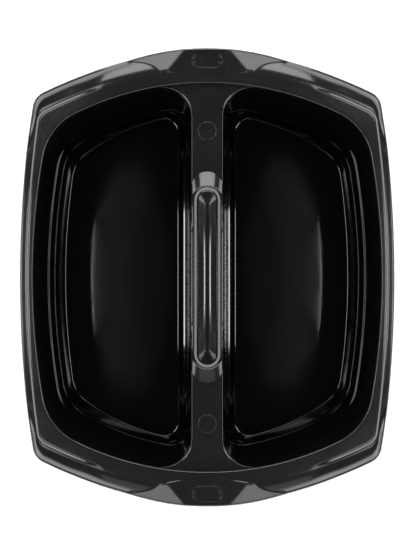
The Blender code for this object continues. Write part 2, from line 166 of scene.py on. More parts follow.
# %% [markdown]
# ## One quarter, mirrored twice
#
# The tray is the same left to right and end to end, so only the quarter in +X +Y is built. Rows of
# points are stitched with quads, the quarter is mirrored across both middle planes, and the seams
# are welded. This is what a Mirror modifier does, done here in the mesh itself, so that the skin is
# whole and closed before it gets its materials.


# %% A quarter mesh and its mirror
class Quarter:
    """Vertices, faces and face materials of a quarter of a piece."""

    def __init__(self):
        self.vertices, self.faces, self.slots = [], [], []

    def row(self, points):
        """Adds points and returns their numbers."""
        first = len(self.vertices)
        self.vertices += [tuple(p) for p in points]
        return list(range(first, first + len(points)))

    def strip(self, row, other, slot):
        """Quads between two rows, all in one material slot."""
        for i in range(len(row) - 1):
            self.faces.append((row[i], row[i + 1], other[i + 1], other[i]))
            self.slots.append(slot)

    def stack(self, rows, slot):
        """Quads between each row and the next."""
        for row, following in zip(rows, rows[1:]):
            self.strip(row, following, slot)

    def lift(self, height):
        """Raises every vertex."""
        self.vertices = [(x, y, z + height) for x, y, z in self.vertices]


WELD = mm(0.01)
SHARP = math.radians(40.0)


def mesh_object(name, bm, materials):
    """Turns the bmesh into a smooth-shaded object with its faces outwards."""
    bmesh.ops.recalc_face_normals(bm, faces=bm.faces)
    mesh = bpy.data.meshes.new(name)
    bm.to_mesh(mesh)
    bm.free()
    mesh.shade_smooth()
    mesh.set_sharp_from_angle(angle=SHARP)
    for material in materials:
        mesh.materials.append(material)
    obj = bpy.data.objects.new(name, mesh)
    bpy.context.scene.collection.objects.link(obj)
    print(name, "has", len(mesh.vertices), "vertices")
    return obj


def whole(name, quarter, materials):
    """The object made of a quarter and its three mirror images."""
    bm = bmesh.new()
    points = [bm.verts.new(v) for v in quarter.vertices]
    for corners, slot in zip(quarter.faces, quarter.slots):
        distinct = list(dict.fromkeys(points[i] for i in corners))
        if len(distinct) > 2:
            bm.faces.new(distinct).material_index = slot
    for axis in "XY":
        geometry = bm.verts[:] + bm.edges[:] + bm.faces[:]
        bmesh.ops.mirror(bm, geom=geometry, axis=axis, merge_dist=WELD)
    bmesh.ops.remove_doubles(bm, verts=bm.verts, dist=WELD)
    bmesh.ops.dissolve_degenerate(bm, dist=WELD, edges=bm.edges)
    return mesh_object(name, bm, materials)

# %% [markdown]
# ## The rim
#
# Seen in section, the rim is a flat land, a narrow slope down to a wider flange, and a lip that
# rolls over into a short skirt. The skirt is what stiffens the edge: a flat plate would flap, while
# a turned edge does not. At each end the flange falls away as a shallow slope, and a tongue of it
# stays up as a grip tab, flat in the middle, with a facet falling away at each side.

# %% Shape of the flange
STEP = mm(1.5)                              # land down to the flange along the sides
STEP_FADE = mm(90.0, 118.0)                 # aside from the middle: where the step begins and ends
END_DROP = mm(5.0)                          # land down to the lip at the ends
END_RISE = mm(105.0, 165.0)                 # along the tray: where that fall begins and is whole
TAB_REACH, TAB_SPREAD = mm(3.85, 70.0)      # how far the tab stands out, and half its width
TAB_START, TAB_CREASE_R = mm(176.1, 180.0)  # the crease at its foot, and that crease's bow
TAB_RISER = mm(-0.4, 0.9)                   # foot and head of its riser, from the crease
TAB_Z, TAB_RISE = mm(0.4), 0.10             # height over the land at the crease, and slope from it
TAB_FACET_SLOPE = 0.15
TAB_FOLD, TAB_FOLD_TURN = mm(38.5), 0.88    # half of the flat middle, and how fast it narrows
TAB_FOLD_R = mm(3.0)


def with_tab(point):
    """A lip point moved out to the edge of the grip tab."""
    x, y = point
    return x, y + TAB_REACH * smoothstep(0.0, END_RISE[1], y) / (1.0 + (x / TAB_SPREAD) ** 4)


def soft_bend(distance, radius):
    """0 before a fold and the distance after it, rounded over a radius on both sides."""
    if abs(distance) >= radius:
        return max(0.0, distance)
    return (distance + radius) ** 2 / (4.0 * radius)


def tab_height(x, y):
    """Height of the grip tab over the land: a flat middle and a facet falling at each side."""
    out = y - TAB_START
    fold = TAB_FOLD - TAB_FOLD_TURN * out
    return TAB_Z + TAB_RISE * out - TAB_FACET_SLOPE * soft_bend(x - fold, TAB_FOLD_R)


def rim_height(x, y, outward, drop):
    """Height over the land; outward goes from 0 at the crest to 1 at the lip, drop is a share."""
    base = -STEP * drop * smoothstep(*STEP_FADE, x)
    base = base - END_DROP * smoothstep(*END_RISE, y) * outward ** 2
    crease = TAB_START + x * x / (2.0 * TAB_CREASE_R)
    return base + smoothstep(*TAB_RISER, y - crease) * max(0.0, tab_height(x, y) - base)


print("tab ridge at the lip:", round(tab_height(0.0, LIP[1]) / MM, 2), "mm over the land")

# %% [markdown]
# The section is walked from the skirt's foot over the lip to the opening. Every edge gets a real
# radius made of several rows, because a black moulding is read almost only by the thin highlights
# on its rounded edges.

# %% Rows of the rim
LIP_R, LIP_STEPS = mm(1.7), 8
FLANGE_STEPS, LAND_STEPS, SLOPE_STEPS = 12, 8, 8
SLOPE_FOOT, SLOPE_HEAD = mm(1.9, -1.1)  # the slope's two edges, from the crest's outline
FOOT_OUTWARD = 0.12                     # the slope's foot, as a share of the way to the lip
EDGE_R, EDGE_STEPS = mm(1.1), 5         # the rounded edge of the opening
FOOT_R = mm(0.5)                        # the rounded foot of the skirt


def shares(count):
    """Evenly spread shares after 0, up to and with 1."""
    return [i / count for i in range(1, count + 1)]


def tabbed(shape):
    """A quarter of a rim outline that follows the grip tab."""
    return [with_tab(p) for p in rim_quarter(shape)]


def between(row, other, t):
    """A row part of the way from one to another."""
    return [mix(p, q, t) for p, q in zip(row, other)]


def lip_row(inset, down):
    """A row on the lip, inset from its side and down from the flange's edge."""
    edge, points = tabbed(grown(LIP, -LIP_R)), tabbed(grown(LIP, -inset))
    return [(x, y, rim_height(ex, ey, 1.0, 1.0) - down) for (x, y), (ex, ey) in zip(points, edge)]


def rim_rows():
    """Rows of the rim's upper side, from the skirt's foot to the deck."""
    rows = [[(x, y, -SKIRT) for x, y in tabbed(grown(LIP, -FOOT_R))]]
    rows.append([(x, y, -SKIRT + FOOT_R) for x, y in tabbed(LIP)])
    for t in [0.0] + shares(LIP_STEPS):
        angle = t * math.pi / 2.0
        rows.append(lip_row(LIP_R * (1.0 - math.cos(angle)), LIP_R * (1.0 - math.sin(angle))))
    edge = tabbed(grown(LIP, -LIP_R))
    slope_foot = rim_quarter(grown(CREST, SLOPE_FOOT))
    slope_head = rim_quarter(grown(CREST, SLOPE_HEAD))
    opening = rim_quarter(grown(OPENING, EDGE_R))
    for t in shares(FLANGE_STEPS):
        outward = 1.0 - t * (1.0 - FOOT_OUTWARD)
        row = between(edge, slope_foot, t)
        rows.append([(x, y, rim_height(x, y, outward, 1.0)) for x, y in row])
    for t in shares(SLOPE_STEPS):
        outward, drop = FOOT_OUTWARD * (1.0 - t), 1.0 - smoothstep(0.0, 1.0, t)
        row = between(slope_foot, slope_head, t)
        rows.append([(x, y, rim_height(x, y, outward, drop)) for x, y in row])
    for t in shares(LAND_STEPS):
        row = between(slope_head, opening, t)
        rows.append([(x, y, rim_height(x, y, 0.0, 0.0)) for x, y in row])
    for t in shares(EDGE_STEPS):
        angle = t * math.pi / 2.0
        row = rim_quarter(grown(OPENING, EDGE_R * (1.0 - math.sin(angle))))
        rows.append([(x, y, -EDGE_R * (1.0 - math.cos(angle))) for x, y in row])
    rows.append([(x, y, -DECK_DEPTH) for x, y in rim_quarter(OPENING)])
    return rows


# %% [markdown]
# ## The troughs
#
# A trough is pulled off a polished core, so its walls lean outwards by one to three degrees of
# draft. From the top down it has a nearly straight wall, a faint line where the draft changes, a
# foot, and a floor whose middle stands up a little: a flat floor of this size would sink and rock
# on a table, so mould makers crown it. The foot is a narrow sloping ledge, a steep fall and a
# rounded toe. Along the ends the ledge fades out, and a plain rounded foot is left.

# %% Stations of the trough
# Depth under the land; distance of the outer wall and of the spine from the middle; half length;
# radius of the side, the end, the outer corner and the corner at the spine.
TROUGH_TOP = mm(4.5, 153.0, 14.0, 170.5, 620.0, 262.0, 52.0, 26.0)
TROUGH_CREASE = mm(74.0, 150.0, 18.0, 169.0, 640.0, 243.0, 47.0, 22.5)
TROUGH_COVE = mm(115.0, 147.3, 21.2, 167.5, 680.0, 225.0, 42.0, 19.0)
TROUGH_FLOOR = mm(130.0, 140.5, 29.2, 162.7, 740.0, 200.0, 32.0, 13.0)
FOOT_WIDTH, FOOT_HEIGHT = TROUGH_COVE[1] - TROUGH_FLOOR[1], TROUGH_FLOOR[0] - TROUGH_COVE[0]
NOSE_R, TOE_R = mm(1.0, 2.0)      # edge between ledge and fall, and between fall and floor
LEDGE_SHARES = (0.12, 0.88, 1.0)  # rows across the ledge; they keep its shading level
WALL_TILT, STEEP_TILT = math.radians(87.0), math.radians(78.0)
TURN_STEPS = 5
# Tilt of the ledge, its width, and the radius between the wall and it.
OUTER_LEDGE = (math.radians(23.5), *mm(0.9, 2.0))
SPINE_LEDGE = (math.radians(14.3), *mm(1.1, 0.3))
PLAIN_LEDGE = (math.radians(76.0), *mm(0.3, 2.0))


def turn(start, radius, before, after):
    """Points (down, inward) along an arc that goes from one tilt to another."""
    tilts = [mix(before, after, t) for t in shares(TURN_STEPS)]
    return [(start[0] + radius * abs(math.cos(t) - math.cos(before)),
             start[1] + radius * abs(math.sin(t) - math.sin(before))) for t in tilts]


def foot_section(tilt, width, ledge_r):
    """The foot of the wall as shares of its height and width: ledge, steep fall, rounded toe."""
    points = [(0.0, 0.0)] + turn((0.0, 0.0), ledge_r, WALL_TILT, tilt)
    begin = points[-1]
    end = (begin[0] + width * math.tan(tilt), begin[1] + width)
    points += [(mix(begin[0], end[0], t), mix(begin[1], end[1], t)) for t in LEDGE_SHARES]
    points += turn(end, NOSE_R, tilt, STEEP_TILT)
    toe = turn((0.0, 0.0), TOE_R, STEEP_TILT, 0.0)
    start = (FOOT_HEIGHT - toe[-1][0], FOOT_WIDTH - toe[-1][1])
    points += [start] + turn(start, TOE_R, STEEP_TILT, 0.0)
    return [(down / FOOT_HEIGHT, inward / FOOT_WIDTH) for down, inward in points]


OUTER_FOOT, SPINE_FOOT, PLAIN_FOOT = [
    foot_section(*ledge) for ledge in (OUTER_LEDGE, SPINE_LEDGE, PLAIN_LEDGE)]


def station(depth, share=None):
    """Outline values at a depth, or at a share of the foot's width under the wall."""
    if share is not None:
        return mix(TROUGH_COVE, TROUGH_FLOOR, share)
    for upper, lower in ((TROUGH_TOP, TROUGH_CREASE), (TROUGH_CREASE, TROUGH_COVE)):
        if depth <= lower[0]:
            return mix(upper, lower, (depth - upper[0]) / (lower[0] - upper[0]))
    return TROUGH_COVE


SPINE_STEP = mm(2.0)
CORNER_END_Y = spine_corner(OPENING, SPINE_X, SPINE_R)[0][1]
STRAIGHT_N = round(CORNER_END_Y / SPINE_STEP)


def trough_half(depth, outset=0.0, share=None):
    """Points from the outer wall's middle to the spine's middle, and each one's way to the deck."""
    _, outer_x, spine_x, end_y, side_r, end_r, corner_r, spine_r = station(depth, share)
    shape = grown((outer_x, end_y, side_r, end_r, corner_r), outset)
    spine_x, spine_r = spine_x - outset, spine_r + outset
    points, end_centre, end_angle = side_and_corner(shape)
    centre, tangent = spine_corner(shape, spine_x, spine_r)
    points += arc(end_centre, shape[3], end_angle, tangent, END_N)
    ways = [(0.0, 0.0)] * len(points)
    corner = arc(centre, spine_r, tangent, math.pi, SPINE_N)
    points += corner
    ways += [((x - centre[0]) / spine_r, (y - centre[1]) / spine_r) for x, y in corner]
    points += [(spine_x, centre[1] * (1.0 - t)) for t in shares(STRAIGHT_N)]
    return points, ways + [(-1.0, 0.0)] * STRAIGHT_N


print("points on half a trough:", len(trough_half(DECK_DEPTH)[0]))

# %% [markdown]
# The deck dips under the handle to make room for fingers. The same smooth step is used for the
# deck and for the top edge of the spine's walls, so both meet without a gap.

# %% The dip and the trough's rows
DIP_DEPTH, DIP_FLAT_Y, DIP_EDGE_Y = mm(16.0, 40.0, 65.0)
SPINE_EDGE_R = mm(1.6)
FADE_POINTS = 8                # points from the shared row over which that radius grows
WALL_ROWS, FOOT_ROWS, BEAD_ROWS = 7, 5, 5
BEAD = mm(0.22, 0.35)          # width and height of the step where the draft changes
LEDGE_FADE = mm(105.0, 142.0)  # along the tray: where that step and the ledge fade out


def dip(y):
    """How far the deck lies under its ends."""
    return DIP_DEPTH * (1.0 - smoothstep(DIP_FLAT_Y, DIP_EDGE_Y, abs(y)))


def bead_row(depth, inward):
    """A row moved inwards by the little step in the wall, which fades out towards the ends."""
    plain, moved = trough_half(depth)[0], trough_half(depth, -inward)[0]
    row = [mix(p, q, 1.0 - smoothstep(*LEDGE_FADE, p[1])) for p, q in zip(plain, moved)]
    return [(x, y, -depth) for x, y in row]


def foot_row(down, share):
    """Points round a trough at shares of its foot's height and width."""
    depth = mix(TROUGH_COVE[0], TROUGH_FLOOR[0], down)
    return [(x, y, -depth) for x, y in trough_half(depth, 0.0, share)[0]]


def trough_rows():
    """Rows of a trough under its first one, down to the floor's outline."""
    top, ways = trough_half(DECK_DEPTH)
    for index, (_, y) in enumerate(top):
        if index > SHARED and dip(y) > 0.0:
            top[index] = trough_half(DECK_DEPTH + dip(y))[0][index]
    rows = []
    for t in [0.0] + shares(EDGE_STEPS):
        angle = t * math.pi / 2.0
        row = []
        for index, ((x, y), way) in enumerate(zip(top, ways)):
            radius = SPINE_EDGE_R * smoothstep(0, FADE_POINTS, index - SHARED)
            aside = radius * (1.0 - math.sin(angle))
            if index > SHARED:
                down = DECK_DEPTH + radius * (1.0 - math.cos(angle)) + dip(y)
            else:
                down = DECK_DEPTH + SPINE_EDGE_R * t
            row.append((x + way[0] * aside, y + way[1] * aside, -down))
        rows.append(row)
    last = rows[-1]
    for t in shares(WALL_ROWS):
        row = []
        for index, (_, _, z) in enumerate(last):
            depth = mix(-z, TROUGH_CREASE[0], t)
            x, y = trough_half(depth)[0][index]
            row.append((x, y, -depth))
        rows.append(row)
    for t in shares(BEAD_ROWS):
        rows.append(bead_row(TROUGH_CREASE[0] + BEAD[1] * t, BEAD[0] * smoothstep(0.0, 1.0, t)))
    for t in shares(FOOT_ROWS):
        depth = mix(TROUGH_CREASE[0] + BEAD[1], TROUGH_COVE[0], t)
        rows.append(bead_row(depth, BEAD[0] * (1.0 - t)))
    for sections in zip(OUTER_FOOT[1:], SPINE_FOOT[1:], PLAIN_FOOT[1:]):
        outer, spine, plain = [foot_row(*values) for values in sections]
        row = []
        for index, flat in enumerate(plain):
            shaped = outer[index] if index <= SHARED else spine[index]
            row.append(mix(flat, shaped, 1.0 - smoothstep(*LEDGE_FADE, flat[1])))
        rows.append(row)
    return rows


# %% [markdown]
# The floor closes the trough with rings that shrink towards its middle. Its crown rises over a
# soft shoulder whose line wanders a little, and slow waves of a few hundredths of a millimetre
# stand for the sink marks that cooling plastic leaves. On a polished black surface they are what
# makes a reflection look wavy.

# %% The floor
FLOOR_MID_X = mm(85.0)
CREASE_SUPPORT = mm(0.45)                     # first ring in, which keeps the toe's shading
CROWN_START = 0.42                            # the shoulder, as a share of the way to the middle
CROWN_SLOPE, CROWN_RUN = 0.15, mm(4.5)        # its slope, and the length over which that dies out
CROWN_EDGE = mm(1.2)                          # half width of the rounding at its foot
CROWN_FADE = mm(95.0, 150.0)                  # along the tray: where it softens and is gone
CROWN_WANDER, WANDER_LENGTH = mm(3.2, 26.0)
WANDER_SLICE, WAVE_SLICE = 0.3, 0.0           # heights at which the same 3-D noise is cut
WAVE, WAVE_LENGTH, WAVE_START = *mm(0.03, 17.0), 0.15
RINGS = ((0.0, 0.05, 8), (0.385, 0.0125, 20), (0.66, 0.0567, 7))  # first, spacing, count
RING_SHARES = [first + i * spacing for first, spacing, count in RINGS for i in range(count)]


def crown(distance, share, crisp):
    """Height of the crown: steep at its edge and then level where crisp, else one slow rise."""
    slow = smoothstep(0.0, 1.0, share)
    steep = 1.0 - math.exp(-max(0.0, distance) / CROWN_RUN)
    steep = steep * smoothstep(-CROWN_EDGE, CROWN_EDGE, distance)
    return CROWN_SLOPE * CROWN_RUN * mix(slow, steep, crisp)


def unevenness(x, y, size, slice_height):
    """A slow random value of about -1 to 1 that depends on the place alone."""
    return noise.noise(Vector((x, y, slice_height)) / size)


def floor_rows(outline):
    """Rings of a floor inside its outline, and then its middle point."""
    rows = []
    centre = (FLOOR_MID_X, 0.0)
    reach_side = outline[0][0] - FLOOR_MID_X
    for t in RING_SHARES:
        row = []
        for index, (x, y, z) in enumerate(outline):
            crisp = 1.0 - smoothstep(*CROWN_FADE, y) if index <= SHARED else 0.0
            reach = math.hypot(x - centre[0], y)
            u = CREASE_SUPPORT / reach + t * (1.0 - CREASE_SUPPORT / reach)
            px, py = mix((x, y), centre, u)
            wander = CROWN_WANDER * unevenness(px, py, WANDER_LENGTH, WANDER_SLICE)
            wave = WAVE * unevenness(px, py, WAVE_LENGTH, WAVE_SLICE)
            wave = wave * smoothstep(0.0, WAVE_START, u)
            rise = crown((t - CROWN_START) * reach_side + wander, t, crisp)
            row.append((px, py, z + rise + wave))
        rows.append(row)
    rows.append([(*centre, rows[-1][0][2])])
    return rows


# %% [markdown]
# ## The underside
#
# The skin is 2.5 mm thick, and 2 mm along the skirt, so the underside repeats the outlines moved by
# one wall. It needs fewer rows, because only its feet and the hollow under the deck are ever seen.

# %% Rows of the underside
SKIRT_WALL = mm(2.0)
UNDER_LIP_R = mm(0.5)
UNDER_STEPS = 4


def under_rim_rows():
    """Rows under the rim, from the skirt's foot to the underside of the deck."""
    inner_lip = grown(LIP, -SKIRT_WALL)
    rows = [[(x, y, -SKIRT) for x, y in tabbed(grown(inner_lip, -FOOT_R / 2))]]
    rows.append([(x, y, -SKIRT + FOOT_R) for x, y in tabbed(inner_lip)])
    for t in [0.0] + shares(UNDER_STEPS):
        angle = t * math.pi / 2.0
        inset = SKIRT_WALL + UNDER_LIP_R * (1.0 - math.cos(angle))
        rows.append(lip_row(inset, WALL + UNDER_LIP_R * (1.0 - math.sin(angle))))
    edge = tabbed(grown(LIP, -LIP_R))
    crest = rim_quarter(CREST)
    opening = rim_quarter(grown(OPENING, WALL))
    for t in shares(UNDER_STEPS):
        row = between(edge, crest, t)
        rows.append([(x, y, rim_height(x, y, 1.0 - t, 1.0 - t) - WALL) for x, y in row])
    for t in shares(UNDER_STEPS):
        row = between(crest, opening, t)
        rows.append([(x, y, rim_height(x, y, 0.0, 0.0) - WALL) for x, y in row])
    rows.append([(x, y, -DECK_DEPTH - WALL) for x, y in opening])
    return rows


def under_trough_rows():
    """Rows of a trough's outside under the deck, down to the floor's underside."""
    top = trough_half(DECK_DEPTH, WALL)[0]
    dips = [dip(y) if index > SHARED else 0.0 for index, (_, y) in enumerate(top)]
    first = [(x, y, -DECK_DEPTH - WALL - lower) for (x, y), lower in zip(top, dips)]
    rows = [first]
    for t in shares(UNDER_STEPS):
        row = []
        for index, (_, _, z) in enumerate(first):
            depth = mix(-z - WALL, TROUGH_CREASE[0], t)
            x, y = trough_half(depth, WALL)[0][index]
            row.append((x, y, -depth - WALL * (1.0 - t)))
        rows.append(row)
    for down, share in PLAIN_FOOT[::4] + PLAIN_FOOT[-1:]:
        depth = mix(TROUGH_COVE[0], TROUGH_FLOOR[0] + WALL, down)
        rows.append([(x, y, -depth) for x, y in trough_half(depth, WALL, share)[0]])
    floor = rows[-1]
    for t in shares(UNDER_STEPS)[:-1]:
        rows.append([(*mix((x, y), (FLOOR_MID_X, 0.0), t), z) for x, y, z in floor])
    return rows


# %% [markdown]
# ## The whole skin
#
# The rim's last row runs along the top of the trough's outer wall and then across the end of the
# deck. The trough's first row shares the first part of it and goes on down the spine, and the deck
# is the patch between the spine's edge and the middle line.

# %% Join rim, trough, deck and floor
SATIN, POLISHED = 0, 1


def deck_rows(quarter, rim_row, spine_edge):
    """Adds the deck between the spine's edge and the middle, and returns its rows."""
    rows = [rim_row[SHARED:]]
    end_y = quarter.vertices[spine_edge[0]][1]
    for number in spine_edge[1:]:
        x, y, z = quarter.vertices[number]
        bow = (OPENING[1] - end_y) * max(0.0, (y - CORNER_END_Y) / (end_y - CORNER_END_Y)) ** 2
        points = [(x * (1.0 - t), y + bow * (1.0 - (1.0 - t) ** 2), z) for t in shares(CENTRE_N)]
        rows.append([number] + quarter.row(points))
    return rows


def add_side(quarter, rim, trough, closing):
    """Adds one side of the skin: rim rows, trough rows, deck and the floor's middle."""
    rim_numbers = [quarter.row(row) for row in rim]
    quarter.stack(rim_numbers, SATIN)
    spine = quarter.row(trough[0][SHARED + 1:])
    numbers = [rim_numbers[-1][:SHARED + 1] + spine]
    numbers += [quarter.row(row) for row in trough[1:]]
    quarter.stack(numbers, POLISHED)
    spine_edge = [rim_numbers[-1][SHARED]] + spine
    quarter.stack(deck_rows(quarter, rim_numbers[-1], spine_edge), SATIN)
    centre = quarter.row([closing])[0]
    last = numbers[-1]
    for a, b in zip(last, last[1:]):
        quarter.faces.append((a, b, centre))
        quarter.slots.append(POLISHED)
    return rim_numbers[0]


def build_tray(materials):
    """The whole moulding."""
    quarter = Quarter()
    trough = trough_rows()
    floor = floor_rows(trough[-1])
    middle = floor.pop()[0]
    top_foot = add_side(quarter, rim_rows(), trough + floor, middle)
    under = under_trough_rows()
    under_foot = add_side(quarter, under_rim_rows(), under, (FLOOR_MID_X, 0.0, under[-1][0][2]))
    quarter.strip(top_foot, under_foot, SATIN)
    quarter.lift(RIM_Z)
    return whole("tray_moulding", quarter, materials)


# %% [markdown]
# ## Materials
#
# Colours are easier to pick as sRGB hex values, while shader nodes work in linear light, so one
# function converts them. A second one adds a node, sets its values and joins its inputs, which
# keeps each material readable as a list of steps.

# %% Node helpers


def linear(hex_colour):
    """Linear RGBA from an sRGB hex string."""
    values = [int(hex_colour[i:i + 2], 16) / 255.0 for i in (1, 3, 5)]
    return (*[v / 12.92 if v <= 0.04045 else ((v + 0.055) / 1.055) ** 2.4 for v in values], 1.0)


def add_node(tree, kind, inputs=None, **settings):
    """Adds a node; an input is a value, or another node's socket that is linked to it."""
    node = tree.nodes.new(kind)
    for name, value in settings.items():
        setattr(node, name, value)
    for key, value in (inputs or {}).items():
        if isinstance(value, bpy.types.NodeSocket):
            tree.links.new(value, node.inputs[key])
        else:
            node.inputs[key].default_value = value
    return node


def new_material(name):
    """An empty node material with its shader and tree."""
    material = bpy.data.materials.new(name)
    material.use_nodes = True
    return material, material.node_tree, material.node_tree.nodes["Principled BSDF"]


def ramped(tree, value, low, high, start=0.0, stop=1.0):
    """A value from low to high as another one goes from start to stop."""
    inputs = {"Value": value, "From Min": start, "From Max": stop, "To Min": low, "To Max": high}
    return add_node(tree, "ShaderNodeMapRange", inputs).outputs["Result"]


def noise_node(tree, coordinates, size, detail=2.0, rough=0.5):
    """A noise whose blobs are about size metres across."""
    inputs = {"Vector": coordinates, "Scale": 1.0 / size, "Detail": detail, "Roughness": rough}
    return add_node(tree, "ShaderNodeTexNoise", inputs).outputs["Fac"]


def centred(tree, value, middle, half):
    """(value - middle) / half."""
    less = add_node(tree, "ShaderNodeMath", {0: value, 1: middle}, operation="SUBTRACT").outputs[0]
    return add_node(tree, "ShaderNodeMath", {0: less, 1: half}, operation="DIVIDE").outputs[0]


# %% [markdown]
# Moulded polypropylene copies its tool. The rim, deck and handle come off steel that was blasted to
# a fine satin, the troughs off a polished core. Both get a grain of about half a millimetre, faint
# cloudy differences in gloss where the melt flowed, and slow waves where it cooled unevenly.
# Polypropylene's index of refraction is 1.49.

# %% Polypropylene
PP_IOR = 1.49
FLOW, SPECK = mm(38.0, 2.6)    # sizes of the clouds and of the specks in them
COLOUR_CLOUDS, GLOSS_CLOUDS = (0.1, 0.5), (0.1, 0.45)  # the cloud values each one runs over
GRAIN_ROUGH = 0.6


def polypropylene(name, blacks, gloss, grain, waves):
    """Two close blacks, a range of roughness, and a size and height for grain and for waves."""
    material, tree, shader = new_material(name)
    place = add_node(tree, "ShaderNodeTexCoord").outputs["Object"]
    flow = noise_node(tree, place, FLOW, 3.0)
    speck = noise_node(tree, place, SPECK, 2.0)
    both = add_node(tree, "ShaderNodeMath", {0: flow, 1: speck}, operation="MULTIPLY").outputs[0]
    dark, light = [linear(black) for black in blacks]
    share = ramped(tree, both, 0.0, 1.0, *COLOUR_CLOUDS)
    colour = add_node(tree, "ShaderNodeMix", {"Factor": share, "A": dark, "B": light},
                      data_type="RGBA")
    rough = ramped(tree, both, *gloss, *GLOSS_CLOUDS)
    fine = noise_node(tree, place, grain[0], 2.0, GRAIN_ROUGH)
    slow = noise_node(tree, place, waves[0], 1.0)
    slow_bump = add_node(tree, "ShaderNodeBump", {"Height": slow, "Distance": waves[1]})
    bump = add_node(tree, "ShaderNodeBump", {"Height": fine, "Distance": grain[1],
                                             "Normal": slow_bump.outputs["Normal"]})
    tree.links.new(colour.outputs["Result"], shader.inputs["Base Color"])
    tree.links.new(rough, shader.inputs["Roughness"])
    tree.links.new(bump.outputs["Normal"], shader.inputs["Normal"])
    shader.inputs["IOR"].default_value = PP_IOR
    return material


satin = polypropylene("polypropylene moulded satin", ("#111112", "#18181a"), (0.13, 0.18),
                      grain=mm(0.45, 0.002), waves=mm(26.0, 0.05))
polished = polypropylene("polypropylene moulded polished", ("#040404", "#070707"), (0.04, 0.07),
                         grain=mm(0.60, 0.002), waves=mm(21.0, 0.04))

# %% [markdown]
# What the tray carries rubs on the crown of each floor and dulls the polish there. The worn patch
# is an oval with an uneven edge, placed by the tray's own coordinates; fine scuffs run along it.

# %% Wear on the floors
WORN_MIDDLE_X, WORN_HALF = mm(76.0), mm(50.0, 150.0)
WORN_ROUGHNESS = 0.19
WORN_BLOTCH, BLOTCH_SHARE = mm(30.0), 0.35  # size of the unevenness, and how far it moves the edge
WORN_EDGE = (0.85, 1.25)                    # the wear fades between these shares of the oval
SCUFF, SCUFF_DEPTH = mm(0.7, 30.0), mm(0.004)


def add_wear(material):
    """Dulls the polish in an oval on each floor and scratches it lengthwise."""
    tree = material.node_tree
    shader = tree.nodes["Principled BSDF"]
    place = add_node(tree, "ShaderNodeTexCoord").outputs["Object"]
    parts = add_node(tree, "ShaderNodeSeparateXYZ", {0: place})
    aside = add_node(tree, "ShaderNodeMath", {0: parts.outputs["X"]}, operation="ABSOLUTE")
    across = centred(tree, aside.outputs[0], WORN_MIDDLE_X, WORN_HALF[0])
    along = centred(tree, parts.outputs["Y"], 0.0, WORN_HALF[1])
    where = add_node(tree, "ShaderNodeCombineXYZ", {0: across, 1: along}).outputs[0]
    reach = add_node(tree, "ShaderNodeVectorMath", {0: where}, operation="LENGTH").outputs["Value"]
    blotch = noise_node(tree, place, WORN_BLOTCH)
    uneven = add_node(tree, "ShaderNodeMath", {0: blotch, 1: BLOTCH_SHARE, 2: reach},
                      operation="MULTIPLY_ADD").outputs[0]
    worn = ramped(tree, uneven, 1.0, 0.0, *WORN_EDGE)
    before = shader.inputs["Roughness"].links[0].from_socket
    rough = add_node(tree, "ShaderNodeMix", {"Factor": worn, "A": before, "B": WORN_ROUGHNESS})
    tree.links.new(rough.outputs["Result"], shader.inputs["Roughness"])
    scale = (1.0 / SCUFF[0], 1.0 / SCUFF[1], 1.0)
    stretched = add_node(tree, "ShaderNodeMapping", {"Vector": place, "Scale": scale})
    lines = add_node(tree, "ShaderNodeTexNoise", {"Vector": stretched.outputs[0], "Scale": 1.0})
    normal = shader.inputs["Normal"].links[0].from_socket
    scratches = {"Height": lines.outputs["Fac"], "Distance": SCUFF_DEPTH, "Strength": worn,
                 "Normal": normal}
    scuffs = add_node(tree, "ShaderNodeBump", scratches)
    tree.links.new(scuffs.outputs["Normal"], shader.inputs["Normal"])


add_wear(polished)
print("materials so far:", [m.name for m in (satin, polished)])

# %% [markdown]
# With its materials ready, the skin can be built. It takes the place of the CAD model's tray body:
# satin on the rim and deck, polished in the troughs.

# %% The tray
tray = build_tray([satin, polished])
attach(tray, "root")
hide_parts("tray_body")

# %% [markdown]
# ## The handle
#
# The handle is a second moulding: a hollow bar on two feet, each with a ramp that carries its end
# down to the deck. Its plan is a long slot shape at every level. Corners between the levels are
# rounded by a short curve, so that each edge catches one clean line of light.

# %% Loops along the handle
# Half width, half length, height over the deck, and how far the ends lie under the middle.
FOOT = mm(13.7, 93.0, 0.3, 0.0)
BAR_LOW = mm(13.8, 80.0, 4.6, 0.0)
BAR_WAIST = mm(12.2, 78.5, 9.6, 0.0)
BAR_TOP = mm(11.3, 77.6, 23.2, 2.5)
RING = mm(8.8, 75.1, 25.0, 2.5)
LEDGE = mm(8.8, 75.1, 22.7, 2.5)
HOLLOW_TOP = mm(6.8, 60.0, 22.7, 2.5)
HOLLOW_LOW = mm(6.8, 60.0, 12.0, 0.0)
EDGE_RADII = mm(1.2, 1.2, 0.6, 0.35, 0.0, 0.3)  # at the levels from BAR_LOW to HOLLOW_TOP
ROUND_N, LONG_N, EDGE_N = 24, 80, 4


def level(values):
    """A slot-shaped loop from half width, half length, height over the deck and arch."""
    half_x, half_y, height, arch = values
    straight = half_y - half_x
    plan = arc((0.0, straight), half_x, 0.0, math.pi, ROUND_N)
    plan += [(-half_x, straight * (1.0 - 2.0 * t)) for t in shares(LONG_N)]
    plan += [(-x, -y) for x, y in plan]
    return [(x, y, DECK_Z + height - arch * (y / BAR_TOP[1]) ** 2) for x, y in plan]


def rounded(levels, radii):
    """The levels with each inner one replaced by a short curve that starts a radius before it."""
    result = [levels[0]]
    for before, here, after, radius in zip(levels, levels[1:], levels[2:], radii):
        if radius:
            start = mix(here, before, radius / math.dist(here, before))
            stop = mix(here, after, radius / math.dist(here, after))
            for t in [0.0] + shares(EDGE_N):
                result.append(mix(mix(start, here, t), mix(here, stop, t), t))
        else:
            result.append(here)
    return result + [levels[-1]]


